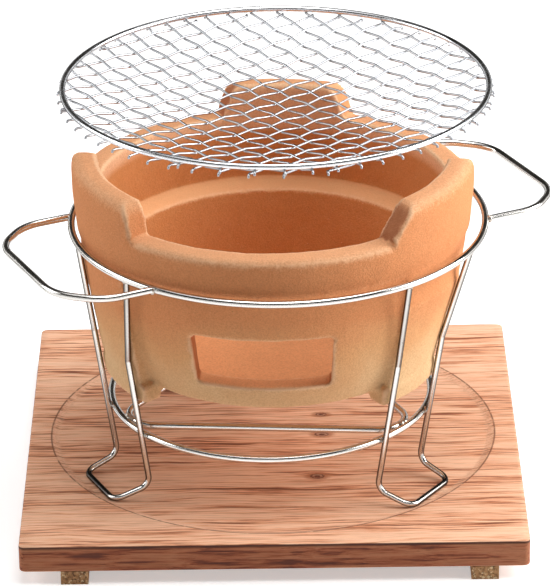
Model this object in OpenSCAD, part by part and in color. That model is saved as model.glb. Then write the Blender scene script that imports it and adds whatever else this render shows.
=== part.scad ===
// Charcoal brazier: a terracotta bowl held in a bright wire stand on a wooden board,
// with its round wire net lifted off above it.
// The stand is a little turned, stands forward on the board, and its hand-made top ring
// sits a few millimetres to one side of the feet, as on the real object.

/* [Board] */
// Width and depth of the square board
board_side = 250; // [240:1:300]
// Thickness of the board
board_thick = 14; // [12:0.5:24]
// Radius of the board's upright corners
board_corner = 3; // [1:0.5:12]
// Outer radius of the round recess in the board's top
recess_r = 114; // [113:0.5:118]
// Depth of the recess
recess_depth = 1.2; // [0.6:0.1:2]
// Width of the recess's sloped edge
recess_slope = 4; // [1:0.5:4]

/* [Battens] */
// Width of each batten
batten_width = 13.5; // [10:0.5:25]
// Height of each batten
batten_height = 7; // [5:0.5:15]
// From the board's left edge to the middle of the left batten
batten_left_inset = 27; // [15:0.5:50]
// From the board's right edge to the middle of the right batten
batten_right_inset = 22; // [15:0.5:50]
// Nails in each batten
nail_count = 3; // [2:1:5]
// From a batten's end to its first nail
nail_inset = 30; // [10:1:60]
// Diameter of a nail's shank
nail_shank = 1.8; // [1.2:0.1:2.4]
// Diameter of a nail's head
nail_head = 4.6; // [3.5:0.1:7]
// Height of a nail's countersunk head
nail_head_height = 1.3; // [0.8:0.1:2]
// How far a nail's head lies below the batten's face
nail_sink = 0.4; // [0.2:0.1:0.8]
// Wood left above a nail's point
nail_cover = 5; // [3:0.5:8]

/* [Stand] */
// How far the stand stands forward of the board's middle
stand_forward = 20; // [15:0.5:20]
// How far the legs' middle lies to the right of the board's middle
stand_right = -1; // [-2:0.5:2]
// How far the stand and bowl are turned on the board, clockwise from above
stand_turn = 4.2; // [0:0.1:8]
// Diameter of the wire in the rings, the triangle and the handles
ring_wire = 3.6; // [3:0.1:4.5]
// Diameter of the wire in the legs
leg_wire = 3; // [2.5:0.1:3.6]
// How deep welded wires sink into each other
weld_sink = 0.3; // [0.1:0.05:0.5]
// Radius of the top ring's centre line
top_ring_r = 103; // [102:0.5:108]
// Height of the top ring's centre line above the board
top_ring_height = 127.7; // [124:0.1:132]
// How far the top ring sits to the right of the legs' middle
top_ring_shift = 5; // [3:0.1:6]
// Height of the lower ring's centre line above the board
lower_ring_height = 33.9; // [25:0.1:45]
// Radius of the bends at the triangle's corners
triangle_bend = 14; // [10:0.5:20]

/* [Legs] */
// Half the gap between a leg's struts where they meet the top ring
strut_top_half = 25; // [22:0.5:30]
// Half the gap between a leg's struts at their bend
strut_bend_half = 20.4; // [18:0.1:23]
// Half the gap between a leg's struts at the foot
strut_low_half = 19.7; // [18:0.1:23]
// Height of the struts' bend above the board
strut_bend_height = 77; // [65:1:90]
// Distance of the struts' bend from the legs' middle
strut_bend_reach = 88.3; // [86:0.1:92]
// How far the bends lie to the right of the legs' middle
strut_bend_shift = 1; // [0:0.1:2]
// Height of the struts' lower ends above the board
strut_low_height = 5.8; // [4:0.1:10]
// Distance of the struts' lower ends from the legs' middle
strut_low_reach = 76.9; // [72:0.1:80]
// Distance of a foot's outer bar from the legs' middle
foot_reach = 95.8; // [90:0.1:96]
// Half the length of a foot's outer bar
foot_half = 17.5; // [15:0.1:17.5]
// Radius of the bends in the leg wire
leg_bend = 6; // [4:0.5:8]
// Angle from the front to each front leg's foot
leg_angle = 60; // [58:0.5:60]
// Angle from the front to where each front leg meets the top ring
leg_top_angle = 56; // [54:0.5:60]

/* [Handles] */
// Distance of the left handle's outer bar from the ring's middle
handle_left_reach = 136; // [125:0.5:145]
// Distance of the right handle's outer bar from the ring's middle
handle_right_reach = 138.5; // [125:0.5:145]
// Half the length of a handle's outer bar
handle_bar_half = 32; // [25:0.5:40]
// Half the width of a handle at the ring
handle_root_half = 49.5; // [44:0.5:55]
// How far a handle's arms turn in before the outer bar
handle_corner = 19; // [14:0.5:22]
// Radius of the bends in a handle
handle_bend = 24; // [10:0.5:28]
// Angle of the handles from straight sideways, before the stand is turned
handle_angle = 30; // [20:1:40]

/* [Bowl] */
// Height of the bowl's feet above the board
bowl_height = 54; // [48:0.5:60]
// How far the bowl sits to the right of the legs' middle
bowl_shift = 2.6; // [2:0.1:3.2]
// Radius of the bowl at its low rim
rim_r = 99.6; // [96:0.1:100]
// Wall at the rim
rim_wall = 13; // [9:0.5:16]
// Height of the low rim above the feet
rim_height = 93.6; // [88:0.1:100]
// Radius of the rim's outer edge
rim_round = 4.5; // [2:0.5:5]
// Radius of the inner edge of the rim and the lugs
inner_round = 2; // [1:0.5:4]
// How far the lugs stand above the low rim
lug_height = 17; // [12:0.1:22]
// Radius of the outer top edge of the lugs
lug_edge_round = 5.5; // [3:0.5:6.5]
// Radius of the rounded ends of the lugs
lug_round = 9; // [4:0.5:10]
// How far the front end of the left lug leans in over its height
left_lug_lean = 4; // [1:0.5:15]
// How far the front end of the right lug leans in over its height
right_lug_lean = 13; // [1:0.5:15]
// How far the back ends of the side lugs lean in over their height
side_lug_lean = 12; // [1:0.5:15]
// How far the ends of the back lug lean in over their height
back_lug_lean = 6; // [1:0.5:12]
// Half the angle of the notch between the side lugs at the front
notch_half = 40; // [34:0.5:46]
// Angle that each side lug covers
side_lug_span = 54; // [48:0.5:60]
// Angle that the back lug covers
back_lug_span = 41; // [35:0.5:50]
// Height of the drum's lower edge above the feet
drum_height = 74.6; // [73:0.1:78]
// Radius of the drum at its lower edge
drum_r = 97.8; // [96:0.1:98]
// Radius of the body just below the drum
body_top_r = 96.3; // [94:0.1:97]
// Radius of the body at its bottom edge
body_low_r = 78; // [74:0.1:80]
// Height of the body's bottom edge above the feet
body_low_height = 7; // [5:0.1:10]
// How far the body's outline swells past a straight line
body_swell = 3.3; // [2:0.1:4]
// Height of the underside above the feet
underside_height = 4; // [2:0.1:5]
// Wall of the firebox at the floor
body_wall = 11; // [9:0.5:13]
// Height of the firebox floor above the feet
floor_height = 15; // [12:0.5:17]
// Radius of the ledge's outer edge
ledge_r = 87.4; // [86.8:0.1:88]
// Height of the ledge's outer edge above the feet
ledge_height = 59; // [55:0.1:65]
// Radius of the ledge's inner edge
ledge_in_r = 78.6; // [77:0.1:84]
// How far the ledge slopes down to its inner edge
ledge_drop = 3.5; // [2:0.1:8]

/* [Ribs, feet and draft hole] */
// Half the angle that each rib covers
rib_half = 14.5; // [11:0.5:16]
// Half the angle that each foot covers
foot_pad_half = 16.5; // [14:0.5:18]
// Height of the feet
foot_pad_height = 9; // [7.5:0.5:14]
// Thickness of the feet from front to back
foot_pad_depth = 11; // [8:0.5:16]
// Half the width of the draft hole at its top
hole_top_half = 34.7; // [25:0.1:38]
// Half the width of the draft hole at its sill
hole_sill_half = 32.3; // [20:0.1:36]
// Height of the draft hole's sill above the feet
hole_sill_height = 19.5; // [18:0.1:24]
// Height of the draft hole
hole_height = 29.3; // [18:0.1:31]

/* [Net] */
// Height of the hoop's centre line above the board, with the net lifted as it is shown
net_height = 199.2; // [190:0.1:230]
// How far the net's middle lies to the right of the legs' middle
net_shift = 4.5; // [3:0.1:6]
// Radius of the hoop's centre line
hoop_r = 104.7; // [103:0.1:110]
// Diameter of the hoop's wire
hoop_wire = 3; // [2.5:0.1:4]
// Diameter of the mesh wires
mesh_wire = 1.2; // [0.8:0.05:1.4]
// How far each mesh wire bends up and down over the others
mesh_crimp = 0.65; // [0.6:0.01:0.8]
// How far the mesh hangs in the middle
net_sag = 8.9; // [4:0.1:12]
// Direction of the first family of mesh wires
mesh_a_angle = -51.5; // [-55:0.5:-48]
// Distance between the first family's wires
mesh_a_pitch = 10.7; // [10.2:0.1:13]
// How far the first family's middle wire lies from the hoop's middle
mesh_a_shift = 2; // [-3:0.1:3]
// Number of wires in the first family
mesh_a_count = 19; // [13:1:19]
// Direction of the second family of mesh wires
mesh_b_angle = 39; // [36:0.5:42]
// Distance between the second family's wires
mesh_b_pitch = 10.8; // [10.2:0.1:13]
// How far the second family's middle wire lies from the hoop's middle
mesh_b_shift = 3.1; // [-3.5:0.1:3.5]
// Number of wires in the second family
mesh_b_count = 19; // [13:1:19]
// How far the mesh wires reach past the hoop's centre line before they turn down
mesh_reach = 1.8; // [1:0.1:2.5]
// How far the turned ends of the mesh wires go down
mesh_curl = 1.2; // [1:0.1:2]

/* [Gaps] */
// Gap between the bowl's ribs and the struts that they lean on
rib_gap = 0.3; // [0.2:0.05:0.6]
// Gap under the feet of the stand
foot_gap = 0.15; // [0.1:0.05:0.4]
// Gap between wires that touch
wire_gap = 0.1; // [0.05:0.01:0.2]

/* [Hidden] */
WIRE_SIDES = 10;
MESH_SIDES = 5;
BEND_STEP = 18;
ROUND_STEPS = 5;
FRONT = 270;
BACK = 90;
board_z = batten_height;
board_top = board_z + board_thick;
recess_floor_r = recess_r - recess_slope;

// The origin is under the middle of everything: between the handles' outer bars from left to
// right, and between the front of the net and the back of the board.
handle_way = handle_angle - stand_turn;
handle_corner_turn = atan(handle_corner / (handle_root_half - handle_bar_half));
net_reach = hoop_r + mesh_reach + curl_out() + mesh_wire / 2;
origin_right = stand_right + top_ring_shift + (handle_across(handle_right_reach) - handle_across(handle_left_reach)) / 2;
origin_forward = (stand_forward + net_reach - board_side / 2) / 2;
board_x = -origin_right;
board_y = origin_forward;
stand_x = board_x + stand_right;
stand_y = board_y - stand_forward;

// The lower ring lies against the inside of the struts
lower_ring_shift = strut_bend_shift * (lower_ring_height - strut_low_height) / (strut_bend_height - strut_low_height);
lower_ring_r = norm(strut_flat(lower_ring_height)) - (leg_wire + ring_wire) / 2 + weld_sink;
strut_top_r = top_ring_r - (ring_wire - leg_wire) / 2 - weld_sink;
strut_top_z = top_ring_height - ring_wire / 2 + weld_sink;

// The feet stand in the recess where it is wide enough for them, and otherwise on the board's top
leg_ways = [[FRONT - leg_angle, FRONT - leg_top_angle], [FRONT + leg_angle, FRONT + leg_top_angle], [BACK, BACK]];
feet_reach = max([for (way = leg_ways) for (p = bent(leg_path(way[0], way[1], 0), leg_bend))
    if (p.z < leg_wire) norm(turned(p, -stand_turn) + [stand_right, -stand_forward])]);
foot_wire_z = foot_gap + leg_wire / 2 - (feet_reach < recess_floor_r ? recess_depth : 0);

lug_top = rim_height + lug_height;
// How far past a face a rounding cutter starts, so that it meets the face at a clear angle
cut_past = 0.4;

// Net
crimp = max(mesh_crimp, (mesh_wire + wire_gap) / 2 * norm([1, 2 * net_sag / hoop_r]));
mesh_z = -(hoop_wire + mesh_wire) / 2 - crimp - wire_gap;
MESH_EDGE = 3;
mesh_a = spread(mesh_a_count, mesh_a_pitch, mesh_a_shift);
mesh_b = spread(mesh_b_count, mesh_b_pitch, mesh_b_shift);

// ---- small helpers ----

function unit(v) = v / norm(v);
function mix(a, b, share) = a + (b - a) * share;
function last(list) = list[len(list) - 1];
function turned(p, angle) = [p.x * cos(angle) - p.y * sin(angle), p.x * sin(angle) + p.y * cos(angle)];

// A point u outward and v sideways along the direction angle, at height z
function along(angle, u, v, z) = [u * cos(angle) - v * sin(angle), u * sin(angle) + v * cos(angle), z];

// Round corner of an outline: from the point before the corner to the point after it
function corner(before, at, after, r) =
    let (
        a = unit(before - at),
        b = unit(after - at),
        half = acos(a * b) / 2,
        middle = at + unit(a + b) * r / sin(half),
        from = at + a * r / tan(half) - middle,
        to = at + b * r / tan(half) - middle
    )
    [for (i = [0 : ROUND_STEPS]) middle + unit(mix(from, to, i / ROUND_STEPS)) * r];

// Points of the arc from a to b that swells out by swell, to the right of the way from a to b
function swollen(a, b, swell, steps) =
    let (
        chord = norm(b - a),
        r = (chord * chord / 4 + swell * swell) / (2 * swell),
        way = (b - a) / chord,
        out = [way.y, -way.x],
        half = asin(chord / 2 / r)
    )
    [for (i = [0 : steps]) let (t = mix(-half, half, i / steps))
        mix(a, b, 0.5) + way * r * sin(t) + out * (r * cos(t) - (r - swell))];

// ---- bent wire ----

function turn_at(path, i) = acos(unit(path[i] - path[i - 1]) * unit(path[i + 1] - path[i]));

// Centre line of a wire bent along a path: each inner corner becomes an arc
function bend_points(path, i, r) =
    let (
        in = unit(path[i] - path[i - 1]),
        out = unit(path[i + 1] - path[i]),
        turn = turn_at(path, i),
        steps = max(2, ceil(turn / BEND_STEP)),
        inward = unit(out - in * (in * out)),
        start = path[i] - in * r * tan(turn / 2)
    )
    [for (k = [0 : steps]) let (t = turn * k / steps)
        start + in * r * sin(t) + inward * r * (1 - cos(t))];

function bent(path, r) = [
    path[0],
    for (i = [1 : len(path) - 2]) each bend_points(path, i, r),
    last(path)
];

function bent_loop(path, r) =
    let (n = len(path), round_again = [last(path), each path, path[0]])
    [for (i = [1 : n]) each bend_points(round_again, i, r)];

// Direction of the centre line at each point
function headings(line, closed) = let (n = len(line)) [
    for (i = [0 : n - 1])
        unit((i < n - 1 ? line[i + 1] : closed ? line[0] : line[i])
            - (i > 0 ? line[i - 1] : closed ? last(line) : line[i]))
];

// A direction square to the wire, carried along it without twist
function carried(ways, side, i = 0) =
    i == len(ways) ? []
    : let (s = unit(side - ways[i] * (side * ways[i]))) [s, each carried(ways, s, i + 1)];

// Round wire along a centre line, as one closed tube of flat faces
module wire(line, d, sides, side, closed = false) {
    n = len(line);
    ways = headings(line, closed);
    across = carried(ways, side);
    points = [for (i = [0 : n - 1], k = [0 : sides - 1])
        line[i] + (across[i] * cos(360 * k / sides) + cross(ways[i], across[i]) * sin(360 * k / sides)) * d / 2];
    walls = [for (i = [0 : n - (closed ? 1 : 2)], k = [0 : sides - 1])
        let (j = (i + 1) % n, m = (k + 1) % sides)
            each [[i * sides + k, j * sides + k, j * sides + m], [i * sides + k, j * sides + m, i * sides + m]]];
    ends = closed ? [] : [for (k = [1 : sides - 2])
        each [[0, k, k + 1], [(n - 1) * sides, (n - 1) * sides + k + 1, (n - 1) * sides + k]]];
    polyhedron(points, [each walls, each ends]);
}

module ring(r, d) {
    rotate_extrude($fn = 96) translate([r, 0]) circle(d = d, $fn = 32);
}

// ---- board ----

module on_board() {
    translate([board_x, board_y, 0]) children();
}

module board() {
    half = board_side / 2;
    c = board_corner;
    color("burlywood") on_board() difference() {
        translate([0, 0, board_z]) linear_extrude(board_thick) polygon([
            each corner([0, -half], [half, -half], [half, 0], c),
            each corner([half, 0], [half, half], [0, half], c),
            each corner([0, half], [-half, half], [-half, 0], c),
            each corner([-half, 0], [-half, -half], [0, -half], c)
        ]);
        rotate_extrude($fn = 96) polygon([
            [0, board_top - recess_depth],
            [recess_floor_r, board_top - recess_depth],
            [recess_r, board_top],
            [recess_r, board_top + recess_depth],
            [0, board_top + recess_depth]
        ]);
        for (x = [batten_left_x(), batten_right_x()]) nails(x);
    }
}

function batten_left_x() = batten_left_inset - board_side / 2;
function batten_right_x() = board_side / 2 - batten_right_inset;

module batten(x) {
    color("tan") on_board() difference() {
        translate([x - batten_width / 2, -board_side / 2, 0]) cube([batten_width, board_side, batten_height]);
        nails(x);
    }
}

// The nails of one batten, driven up from below
module nails(x) {
    span = board_side - 2 * nail_inset;
    point = board_top - recess_depth - nail_cover;
    for (i = [0 : nail_count - 1])
        translate([x, -span / 2 + span * i / (nail_count - 1), 0]) rotate_extrude($fn = 24) polygon([
            [0, nail_sink],
            [nail_head / 2, nail_sink],
            [nail_shank / 2, nail_sink + nail_head_height],
            [nail_shank / 2, point - nail_shank],
            [0, point]
        ]);
}

module batten_left() { batten(batten_left_x()); }
module batten_right() { batten(batten_right_x()); }
module batten_nails() {
    color("gray") on_board() for (x = [batten_left_x(), batten_right_x()]) nails(x);
}

// ---- stand ----

module on_stand(right = 0) {
    translate([stand_x, stand_y, board_top]) rotate(-stand_turn) translate([right, 0, 0]) children();
}

// Where a leg's strut is at height z, as distance out and sideways from the legs' middle
function strut_flat(z) =
    let (t = (z - strut_low_height) / (strut_bend_height - strut_low_height))
    [mix(strut_low_reach, strut_bend_reach, t), mix(strut_low_half, strut_bend_half, t)];

// side is -1 or 1; foot_way and top_way are the leg's directions at its foot and at the top ring
function strut_top(top_way, side) =
    let (u = sqrt(strut_top_r * strut_top_r - strut_top_half * strut_top_half))
    [top_ring_shift, 0, 0] + along(top_way, u, side * strut_top_half, strut_top_z);
function strut_bend(foot_way, side) =
    [strut_bend_shift, 0, 0] + along(foot_way, strut_bend_reach, side * strut_bend_half, strut_bend_height);
function strut_low(foot_way, side) =
    along(foot_way, strut_low_reach, side * strut_low_half, strut_low_height);
function foot_corner(foot_way, side, z) = along(foot_way, foot_reach, side * foot_half, z);
function leg_side(foot_way, top_way, side, foot_z) = [
    strut_top(top_way, side), strut_bend(foot_way, side), strut_low(foot_way, side),
    foot_corner(foot_way, side, foot_z)
];
function leg_path(foot_way, top_way, foot_z) =
    let (back = leg_side(foot_way, top_way, 1, foot_z))
    [each leg_side(foot_way, top_way, -1, foot_z), for (i = [len(back) - 1 : -1 : 0]) back[i]];

module leg(way) {
    color("silver") on_stand()
        wire(bent(leg_path(way[0], way[1], foot_wire_z), leg_bend), leg_wire, WIRE_SIDES, [0, 0, 1]);
}

module leg_front_left() { leg(leg_ways[0]); }
module leg_front_right() { leg(leg_ways[1]); }
module leg_back() { leg(leg_ways[2]); }

module top_ring() {
    color("silver") on_stand(top_ring_shift) translate([0, 0, top_ring_height]) ring(top_ring_r, ring_wire);
}

module lower_ring() {
    color("silver") on_stand(lower_ring_shift) translate([0, 0, lower_ring_height]) ring(lower_ring_r, ring_wire);
}

// The triangle's bent corners touch the inside of the lower ring
module support_triangle() {
    touch_r = lower_ring_r - ring_wire + weld_sink;
    corner_r = touch_r + triangle_bend * (1 / sin(30) - 1);
    corners = [for (way = [BACK, FRONT - leg_angle, FRONT + leg_angle]) along(way, corner_r, 0, lower_ring_height)];
    color("silver") on_stand(lower_ring_shift) wire(bent_loop(corners, triangle_bend), ring_wire, WIRE_SIDES, [0, 0, 1], true);
}

// How far a handle reaches sideways from the ring's middle, on the standing object
function handle_across(reach) =
    (reach - handle_bend) * cos(handle_way)
    + (handle_bar_half - handle_bend * tan(handle_corner_turn / 2)) * sin(handle_way)
    + handle_bend + ring_wire / 2;

module handle(way, reach) {
    root_r = top_ring_r + ring_wire / 2 - weld_sink;
    root = sqrt(root_r * root_r - handle_root_half * handle_root_half);
    path = [
        along(way, root, -handle_root_half, 0),
        along(way, reach - handle_corner, -handle_root_half, 0),
        along(way, reach, -handle_bar_half, 0),
        along(way, reach, handle_bar_half, 0),
        along(way, reach - handle_corner, handle_root_half, 0),
        along(way, root, handle_root_half, 0)
    ];
    color("silver") on_stand(top_ring_shift) translate([0, 0, top_ring_height])
        wire(bent(path, handle_bend), ring_wire, WIRE_SIDES, [0, 0, 1]);
}

module handle_left() { handle(180 + handle_angle, handle_left_reach); }
module handle_right() { handle(handle_angle, handle_right_reach); }

// ---- bowl ----

// Half outline of the bowl, with the wall carried up to the lugs' tops all round
function bowl_outline() =
    let (
        rim_in = rim_r - rim_wall,
        floor_r = body_low_r + (body_top_r - body_low_r) * (floor_height - body_low_height)
            / (drum_height - body_low_height) + body_swell / 2 - body_wall,
        body_low = [body_low_r, body_low_height],
        body_top = [body_top_r, drum_height - rim_round / 2],
        ledge_out = [ledge_r, ledge_height],
        ledge_in = [ledge_in_r, ledge_height - ledge_drop]
    )
    [
        [0, underside_height],
        [body_low_r - 2 * (body_low_height - underside_height), underside_height],
        each swollen(body_low, body_top, body_swell, 8),
        [drum_r, drum_height],
        [rim_r, rim_height],
        each corner([rim_r, rim_height], [rim_r, lug_top], [rim_in, lug_top], lug_edge_round),
        each corner([rim_r, lug_top], [rim_in, lug_top], [rim_in, rim_height], inner_round),
        [rim_in, rim_height],
        ledge_out,
        ledge_in,
        each corner(ledge_in, [floor_r, floor_height], [0, floor_height], rim_round),
        [0, floor_height]
    ];

// Cross-section of what a notch takes away: everything above the low rim's rounded top
function notch_outline() =
    let (
        in = rim_r - rim_wall - cut_past,
        out = rim_r + cut_past,
        deep = rim_height - 2 * rim_round
    )
    [
        [in - rim_wall, lug_top + rim_wall],
        [in - rim_wall, rim_height - inner_round],
        each corner([in, deep], [in, rim_height], [out, rim_height], inner_round),
        each corner([in, rim_height], [out, rim_height], [out, deep], rim_round),
        [out + rim_wall, rim_height - rim_round],
        [out + rim_wall, lug_top + rim_wall]
    ];

// What a notch takes off the lug beside it, so that the lug's end leans and has a round top;
// seen from outside, with the lug to the right of x = 0
module lug_end_cut(lean) {
    foot = [0, rim_height + rim_round / 2];
    shoulder = [lean, lug_top + cut_past];
    start = mix(foot, shoulder, -0.1);
    linear_extrude(2 * rim_r) polygon([
        [-rim_wall, start.y],
        start,
        each corner(start, shoulder, [lean + rim_r, shoulder.y], lug_round),
        [lean + 2 * lug_round, lug_top + rim_round],
        [-rim_wall, lug_top + rim_round]
    ]);
}

// A notch over span degrees, its middle towards way, with the leans of the lugs on its two sides
module notch(way, span, first_lean, second_lean) {
    rotate(way - span / 2) {
        rotate_extrude(angle = span, $fn = 96) polygon(notch_outline());
        mirror([0, 1, 0]) rotate([90, 0, 90]) lug_end_cut(first_lean);
        rotate(span) rotate([90, 0, 90]) lug_end_cut(second_lean);
    }
}

// Distance from the bowl's middle to the nearer strut of a leg at height z above the board
function strut_distance(foot_way, top_way, z) = min([for (side = [-1, 1])
    let (
        low = strut_low(foot_way, side),
        bend = strut_bend(foot_way, side),
        top = strut_top(top_way, side),
        at = z < bend.z ? mix(low, bend, (z - low.z) / (bend.z - low.z))
            : mix(bend, top, (z - bend.z) / (top.z - bend.z))
    )
    norm([at.x - bowl_shift, at.y])]);

// A rib leans on its leg's struts up to the drum's width, and its foot spreads under the body
module rib(way) {
    foot_way = way[0];
    clear = leg_wire / 2 + rib_gap;
    function reach(h) = strut_distance(way[0], way[1], bowl_height + h) - clear;
    bend_h = strut_bend_height - bowl_height;
    top_h = drum_height + rib_gap;
    cap_r = drum_r - 2 * rib_gap;
    cap_h = min(top_h - 2, mix(bend_h, top_h, (cap_r - reach(bend_h)) / (reach(top_h) - reach(bend_h))));
    inner = body_low_r - foot_pad_depth;
    rotate(foot_way - rib_half) rotate_extrude(angle = 2 * rib_half, $fn = 96) polygon([
        [inner, foot_pad_height / 2],
        [reach(0) - rib_gap, foot_pad_height / 2],
        [reach(bend_h), bend_h],
        [min(reach(cap_h), cap_r), cap_h],
        [min(reach(cap_h), cap_r), top_h],
        [body_top_r - body_wall / 4, top_h],
        [body_low_r, body_low_height + body_wall]
    ]);
    rotate(foot_way - foot_pad_half) rotate_extrude(angle = 2 * foot_pad_half, $fn = 96) polygon([
        [reach(0) - foot_pad_depth, 0],
        [reach(0), 0],
        [reach(foot_pad_height), foot_pad_height],
        [reach(0) - foot_pad_depth, foot_pad_height]
    ]);
}

module draft_hole() {
    top = hole_sill_height + hole_height;
    rotate([90, 0, 0]) linear_extrude(rim_r + rim_wall) polygon([
        [-hole_sill_half, hole_sill_height],
        [hole_sill_half, hole_sill_height],
        [hole_top_half, top],
        [-hole_top_half, top]
    ]);
}

module bowl() {
    back_notch = 180 - notch_half - side_lug_span - back_lug_span / 2;
    back_notch_way = back_lug_span / 2 + back_notch / 2;
    color("sandybrown") on_stand(bowl_shift) translate([0, 0, bowl_height]) difference() {
        union() {
            rotate_extrude($fn = 96) polygon(bowl_outline());
            for (way = leg_ways) rib(way);
        }
        draft_hole();
        notch(FRONT, 2 * notch_half, left_lug_lean, right_lug_lean);
        notch(BACK - back_notch_way, back_notch, side_lug_lean, back_lug_lean);
        notch(BACK + back_notch_way, back_notch, back_lug_lean, side_lug_lean);
    }
}

// ---- net ----

function curl_out() = mesh_curl / 2;

// How far the mesh hangs below its edge at a distance from the hoop's middle
function hang(distance) = -net_sag * max(0, 1 - pow(distance / hoop_r, 2));

module on_net() {
    translate([stand_x + net_shift, stand_y, board_top + net_height]) children();
}

module net_hoop() {
    color("gainsboro") on_net() ring(hoop_r, hoop_wire);
}

function spread(count, pitch, shift) = [
    for (i = [0 : count - 1]) let (p = (i - (count - 1) / 2) * pitch + shift)
        if (abs(p) < hoop_r - 2 * mesh_wire) p
];

// Place along a wire at offset p where it meets a wire of the other family at offset q
function crossing(p, q, between) = (p * cos(between) - q) / sin(between);

// Centre line of a mesh wire: crimped over and under the others, hanging, its ends turned down
// outside the hoop. over is 1 where the wire's family lies on top at the edge, else -1.
function mesh_line(index, p, angle, others, between, over) =
    let (
        half = sqrt(hoop_r * hoop_r - p * p),
        at = [for (j = [0 : len(others) - 1]) [crossing(p, others[j], between), j]],
        inside = [for (c = between > 0 ? at : [for (j = [len(at) - 1 : -1 : 0]) at[j]])
            if (abs(c.x) < half - mesh_wire) c],
        sorted = inside[0].x < last(inside).x ? inside : [for (j = [len(inside) - 1 : -1 : 0]) inside[j]],
        height = function (c) norm([c.x, p]) > hoop_r - MESH_EDGE ? over : (index + c.y) % 2 == 0 ? over : -over,
        plan = function (t) [t * cos(angle) - p * sin(angle), t * sin(angle) + p * cos(angle)]
    )
    [
        each mesh_curl_points(plan(-half), over, true),
        for (c = sorted) [each plan(c.x), mesh_z + height(c) * crimp + hang(norm([c.x, p]))],
        each mesh_curl_points(plan(half), over, false)
    ];

// The end of a mesh wire: under the hoop, past it, and turned down
function mesh_curl_points(at, over, reversed) =
    let (
        out = unit(at),
        past = mesh_reach + curl_out(),
        steps = [[0, 0], [mesh_reach, 0], [past, -mesh_curl / 2], [past, -mesh_curl]],
        points = [for (s = steps) [each (at + out * s.x), mesh_z + over * crimp + s.y]]
    )
    reversed ? [for (i = [len(points) - 1 : -1 : 0]) points[i]] : points;

module mesh_family(offsets, angle, others, between, over) {
    color("silver") on_net() for (i = [0 : len(offsets) - 1])
        wire(mesh_line(i, offsets[i], angle, others, between, over), mesh_wire, MESH_SIDES,
            [-sin(angle), cos(angle), 0]);
}

module net_wires_a() { mesh_family(mesh_a, mesh_a_angle, mesh_b, mesh_b_angle - mesh_a_angle, 1); }
module net_wires_b() { mesh_family(mesh_b, mesh_b_angle, mesh_a, mesh_a_angle - mesh_b_angle, -1); }

board();
batten_left();
batten_right();
batten_nails();
top_ring();
lower_ring();
support_triangle();
leg_front_left();
leg_front_right();
leg_back();
handle_left();
handle_right();
bowl();
net_hoop();
net_wires_a();
net_wires_b();
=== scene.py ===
"""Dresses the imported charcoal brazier: bright bent wire, a woven net, gritty terracotta and sawn wood."""
import math

import bmesh
import bpy
from mathutils import Matrix, Vector, noise


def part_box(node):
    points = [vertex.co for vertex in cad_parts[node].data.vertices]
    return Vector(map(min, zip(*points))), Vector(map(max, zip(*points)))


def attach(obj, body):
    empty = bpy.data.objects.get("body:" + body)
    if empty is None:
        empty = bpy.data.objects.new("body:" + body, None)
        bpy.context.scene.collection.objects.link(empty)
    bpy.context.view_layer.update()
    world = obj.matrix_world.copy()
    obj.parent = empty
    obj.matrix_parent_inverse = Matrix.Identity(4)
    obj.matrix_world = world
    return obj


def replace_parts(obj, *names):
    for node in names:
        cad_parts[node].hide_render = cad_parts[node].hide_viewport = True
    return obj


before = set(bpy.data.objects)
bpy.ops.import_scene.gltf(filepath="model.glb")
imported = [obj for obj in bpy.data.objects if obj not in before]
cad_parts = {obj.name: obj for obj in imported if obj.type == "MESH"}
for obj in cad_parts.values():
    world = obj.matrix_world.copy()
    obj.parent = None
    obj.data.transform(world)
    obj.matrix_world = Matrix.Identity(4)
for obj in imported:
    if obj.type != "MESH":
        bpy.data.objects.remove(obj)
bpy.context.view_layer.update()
MM = 0.001

# ---- sizes of the source, in millimetres, and angles in degrees ----

TURN = math.radians(-4.2)
FRONT, BACK = 270, 90
RING_WIRE, LEG_WIRE, WELD_SINK = 3.6, 3.0, 0.3
TOP_RING_R, TOP_RING_HEIGHT, TOP_RING_SHIFT = 103, 127.7, 5
LOWER_RING_R, LOWER_RING_HEIGHT, LOWER_RING_SHIFT = 80.8145, 33.9, 0.3947
TRIANGLE_BEND, LEG_BEND, HANDLE_BEND = 14, 6, 24
LEG_ANGLE, LEG_TOP_ANGLE = 60, 56
STRUT_TOP = (102.4, 25, 126.2)
STRUT_BEND = (88.3, 20.4, 77)
STRUT_BEND_SHIFT = 1
STRUT_LOW = (76.9, 19.7, 5.8)
FOOT = (95.8, 17.5, 0.45)
HANDLE_REACH = {"left": 135.75, "right": 138.25}
HANDLE_BAR_HALF, HANDLE_ROOT_HALF, HANDLE_CORNER, HANDLE_ANGLE = 32, 49.5, 19, 30
BOWL_HEIGHT, HOLE_MIDDLE = 54, -3.0
HOOP_R, HOOP_WIRE, MESH_WIRE, NET_SAG = 104.7, 2.99, 1.2, 8.9
MESH_CRIMP, MESH_Z, MESH_REACH, MESH_CURL, MESH_EDGE = 0.6593, -2.8593, 1.75, 1.2, 3
MESH_FAMILIES = {"a": (-51.5, 10.7, 19, 2.0, 1), "b": (39, 10.8, 19, 3.1, -1)}
BOARD_HALF, BOARD_THICK, BOARD_CORNER, BOARD_EASE = 125, 14, 3, 0.9
RECESS_R, RECESS_SLOPE, RECESS_DEPTH = 114, 4, 1.2
BATTEN_EASE, CAD_WELD = 0.35, 0.01


def middle(node):
    low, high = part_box(node)
    return (low + high) / 2 / MM


BOARD_MIDDLE = middle("board")
BOARD_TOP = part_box("board")[1].z / MM
HOOP_MIDDLE = middle("net_hoop")
BOWL_MIDDLE = middle("bowl")
TURNED_RIGHT = Vector((math.cos(TURN), math.sin(TURN), 0))
LEGS_MIDDLE = Vector((middle("top_ring").x, middle("top_ring").y, BOARD_TOP)) - TURNED_RIGHT * TOP_RING_SHIFT


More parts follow.
